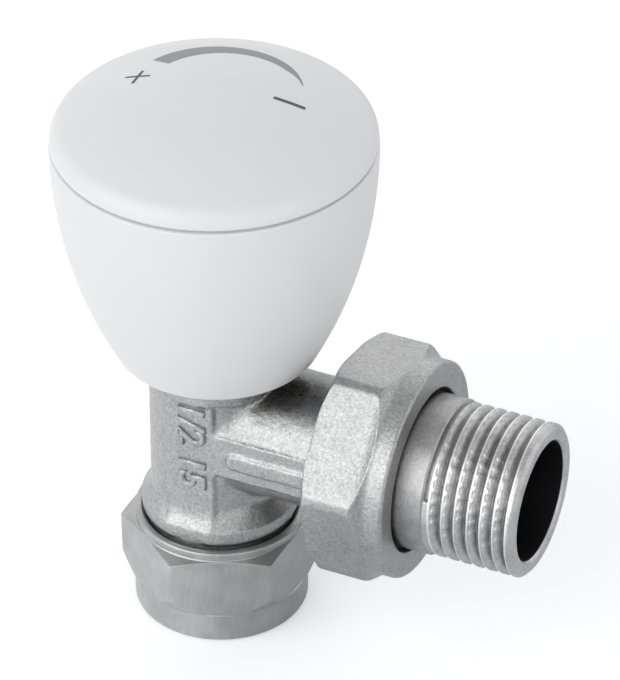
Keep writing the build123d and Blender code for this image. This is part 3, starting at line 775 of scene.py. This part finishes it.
def make_tail():
    row = 0.085
    coarse = 0.7
    thread_inside = 9.8
    thread_begin = 33.0

    def spacing(a, b):
        threaded = min(a[0], b[0]) > thread_inside and min(a[1], b[1]) > thread_begin
        return row if threaded else coarse

    loop = rounded_loop(
        [
            (6.0, 23.5, 0.1), (6.85, 23.5, 0.1), (9.25, 25.9, 0), (11.9, 25.9, 0.1), (11.9, 27.85, 0.1),
            (10.66, 27.85, 0), (10.66, 34.0, 0.12), (THREAD_R, 34.2, 0), (THREAD_R, 46.4, 0.3),
            (9.88, 46.899, 0.15), (8.45, 46.899, 0.1), (8.2, 46.5, 0.1), (8.2, 34.4, 0), (6.0, 27.85, 0),
        ],
        spacing,
    )
    piece = turned_ring("threaded_tail", loop, columns=376)
    cut_thread.cut(
        piece, thread_finish,
        pitch=THREAD_PITCH, depth=0.92, land=0.7, row=row, phase=THREAD_PHASE, start=-0.7, high=46.1,
        notches=40, notch_depth=0.2, radius=THREAD_R, relief=34.55,
    )
    onto_branch(piece)
    settle(piece, "tail", "tail_piece")


CAP_TOP = cad_high.z / MM
DOME_R = 45.0
# Underside and top of the printed ink, measured up from the dome
INK_LAYERS = (-0.05, 0.012)


def on_dome(x, y, lift):
    return Vector((x, y, CAP_TOP - DOME_R + sqrt(DOME_R**2 - x * x - y * y) + lift)) * MM


def printed_patch(name, rows, finish):
    """Thin layer of ink on the cap's dome from rows of (x, y) points in millimetres."""
    shape = bmesh.new()
    layers = []
    for lift in INK_LAYERS:
        layers.append([[shape.verts.new(on_dome(x, y, lift)) for x, y in row] for row in rows])
    low, high = layers
    last, end = len(rows) - 1, len(rows[0]) - 1
    for i in range(last):
        for j in range(end):
            shape.faces.new((high[i][j], high[i + 1][j], high[i + 1][j + 1], high[i][j + 1]))
            shape.faces.new((low[i][j], low[i][j + 1], low[i + 1][j + 1], low[i + 1][j]))
    rim = [(i, 0) for i in range(last)] + [(last, j) for j in range(end)]
    rim += [(i, end) for i in range(last, 0, -1)] + [(0, j) for j in range(end, 0, -1)]
    for (i, j), (k, m) in zip(rim, rim[1:] + rim[:1]):
        shape.faces.new((low[i][j], low[k][m], high[k][m], high[i][j]))
    bmesh.ops.recalc_face_normals(shape, faces=shape.faces)
    mesh = bpy.data.meshes.new(name)
    shape.to_mesh(mesh)
    shape.free()
    mesh.materials.append(finish)
    piece = add_object(name, mesh)
    settle(piece, "handwheel", None)


def bar_rows(start, end, width, steps=12):
    """Rows of points for a straight bar between two (x, y) points on the cap."""
    (x0, y0), (x1, y1) = start, end
    along = Vector((x1 - x0, y1 - y0)).normalized()
    across = Vector((-along.y, along.x)) * width / 2
    rows = []
    for k in range(steps + 1):
        x, y = x0 + (x1 - x0) * k / steps, y0 + (y1 - y0) * k / steps
        rows.append([(x + across.x * s, y + across.y * s) for s in (-1, -0.33, 0.33, 1)])
    return rows


def sweep_rows(steps=64, strips=4):
    """Rows of points between two arcs that aren't concentric, narrower towards the end."""
    outer_r, outer_from, outer_to = 11.27, 162.7, 29.3
    inner_r, inner_from, inner_to = 10.1, 159.8, 38.2
    outer_centre, inner_centre = np.array((-0.80, 2.53)), np.array((0.74, 1.43))
    taper_start, taper_length, taper_share = 0.82, 0.18, 0.7
    rows = []
    for k in range(steps + 1):
        t = k / steps
        a = radians(outer_from + (outer_to - outer_from) * t)
        b = radians(inner_from + (inner_to - inner_from) * t)
        narrow = 1.0 - taper_share * max(0.0, (t - taper_start) / taper_length)
        outer = outer_centre + outer_r * np.array((cos(a), sin(a)))
        inner = inner_centre + inner_r * np.array((cos(b), sin(b)))
        rows.append([tuple(outer + (inner - outer) * narrow * s / strips) for s in range(strips + 1)])
    return rows


def make_cap_marks():
    printed_patch("mark_plus_across", bar_rows((-12.97, 0.7), (-9.7, 1.25), width=0.4), mark_ink)
    printed_patch("mark_plus_upright", bar_rows((-11.2, -0.88), (-11.33, 2.55), width=0.42), mark_ink)
    printed_patch("mark_minus", bar_rows((7.36, 2.58), (11.56, 3.16), width=0.62), mark_ink)
    printed_patch("mark_sweep", sweep_rows(), arc_ink)


def make_size_figures():
    """Raised size figures on the front pad, read from top to bottom."""
    words = bpy.data.curves.new("size_figures", "FONT")
    words.body = "1/2 15"
    words.size = 1.0
    words.extrude = 0.01
    words.offset = -0.022
    words.bevel_depth = 0.06
    words.bevel_resolution = 4
    words.resolution_u = 6
    holder = add_object("size_figures_text", words)
    view = bpy.context.evaluated_depsgraph_get()
    mesh = bpy.data.meshes.new_from_object(holder.evaluated_get(view))
    bpy.data.objects.remove(holder)
    points = np.array([v.co for v in mesh.vertices])
    low, high = points.min(0), points.max(0)
    # Length, height and relief of the row of figures
    wanted = (13.2, 4.1, 0.85)
    scale = Matrix.Diagonal((*(w / (b - a) for w, a, b in zip(wanted, low, high)), 1.0))
    centre = Matrix.Translation(-Vector((low + high) / 2))
    turn = Matrix(((0, 1, 0, 0), (0, 0, -1, 0), (-1, 0, 0, 0), (0, 0, 0, 1)))
    on_pad = Vector((0.3, -8.95, 30.25))
    place = Matrix.Translation(on_pad * MM)
    mesh.transform(place @ Matrix.Scale(MM, 4) @ turn @ scale @ centre)
    mesh.name = "size_figures"
    mesh.materials.clear()
    mesh.materials.append(finishes["forged_nickel"])
    piece = add_object("size_figures", mesh)
    settle(piece, "body", None)


make_elbow()
make_compression_nut()
make_union_nut()
make_tail()
make_cap_marks()
make_size_figures()


# Studio


def background_rays(tree, mirrored=1.0):
    """1 for rays that show the background: seen by the camera, mirrored or through glass."""
    path = tree.nodes.new("ShaderNodeLightPath")
    kinds = ("Is Camera Ray", "Is Glossy Ray", "Is Transmission Ray")
    camera, glossy, through = (Wire(tree, path.outputs[kind]) for kind in kinds)
    return camera.most(glossy.most(through) * mirrored)


def white_floor():
    """White paper that glows a little where it is seen, with a painted shadow on the valve's right that only
    mirrored rays show.
    """
    half = 1.6
    glow = 0.28
    material, tree, shader = new_finish("floor_paper", Roughness=0.9, Specular_IOR_Level=0.0)
    shader.inputs["Emission Color"].default_value = (1.0, 1.0, 1.0, 1.0)
    x, y, _ = object_place(tree)
    # Painted shadow: right of the valve the floor is duller and glows less in mirrored rays, while the
    # camera still sees it white.
    painted_shadow_side = (x + y * 0.25).step(-3.0, 8.0)
    seen = background_rays(tree, 1.0 - painted_shadow_side * 0.85)
    tint(tree, shader, (0.8, 0.8, 0.8), (1.0, 1.0, 1.0), seen)
    join(tree, seen * glow, shader.inputs["Emission Strength"])
    corners = [(-half, -half, 0), (half, -half, 0), (half, half, 0), (-half, half, 0)]
    mesh = bpy.data.meshes.new("floor")
    mesh.from_pydata(corners, [], [(0, 1, 2, 3)])
    mesh.materials.append(material)
    add_object("floor", mesh)


def white_room():
    """White walls all round and a ceiling half as bright."""
    world = bpy.data.worlds.new("room")
    bpy.context.scene.world = world
    world.use_nodes = True
    tree = world.node_tree
    room = tree.nodes["Background"]
    tint(tree, room, (0.78, 0.79, 0.81), (1.1, 1.1, 1.1), background_rays(tree), "Color")
    parts = tree.nodes.new("ShaderNodeSeparateXYZ")
    tree.links.new(tree.nodes.new("ShaderNodeTexCoord").outputs["Generated"], parts.inputs["Vector"])
    height = Wire(tree, parts.outputs["Z"])
    join(tree, 1.0 - height * height * 0.5, room.inputs["Strength"])


def soft_lamp(name, place, aim, width, height, power, mirrored=True):
    """Rectangular lamp. One that isn't mirrored lights the plastic without showing in the metal."""
    lamp = bpy.data.lights.new(name, "AREA")
    lamp.shape = "RECTANGLE"
    lamp.size = width
    lamp.size_y = height
    lamp.energy = power
    holder = add_object(name, lamp)
    holder.location = place
    holder.rotation_euler = (Vector(aim) - Vector(place)).to_track_quat("-Z", "Y").to_euler()
    holder.visible_glossy = mirrored


def photo_camera():
    """Camera fitted to the photograph, which is 680 pixels high with a focal length of 5000 pixels."""
    sensor, focal, picture_height = 36, 5000, 680
    azimuth, elevation, roll = radians(24.73), radians(35.78), radians(-0.25)
    target, distance = Vector((13.55, -0.04, 46.09)) * MM, 658.6 * MM
    back = Vector((sin(azimuth) * cos(elevation), -cos(azimuth) * cos(elevation), sin(elevation)))
    lens = bpy.data.cameras.new("camera")
    lens.lens = sensor * focal / picture_height
    lens.clip_start = 0.05
    lens.clip_end = 20
    camera = add_object("camera", lens)
    camera.location = target + back * distance
    aim = (-back).to_track_quat("-Z", "Y").to_matrix()
    camera.rotation_euler = (aim @ Matrix.Rotation(roll, 3, "Z")).to_euler()
    bpy.context.scene.camera = camera


white_floor()
white_room()
valve_middle = (0, 0, 0.04)
behind = (-0.42, 0.95, 0.6)
soft_lamp("key", (-0.44, -0.86, 0.57), valve_middle, width=1.15, height=1.05, power=5.2)
soft_lamp("back", behind, valve_middle, width=1.2, height=0.8, power=0.6)
soft_lamp("back_fill", behind, valve_middle, width=1.2, height=0.8, power=2.6, mirrored=False)
soft_lamp("fill", (0.9, -0.34, 0.2), (0, 0, 0.05), width=0.8, height=0.4, power=1.0, mirrored=False)
photo_camera()
bpy.context.scene.view_settings.view_transform = "Standard"
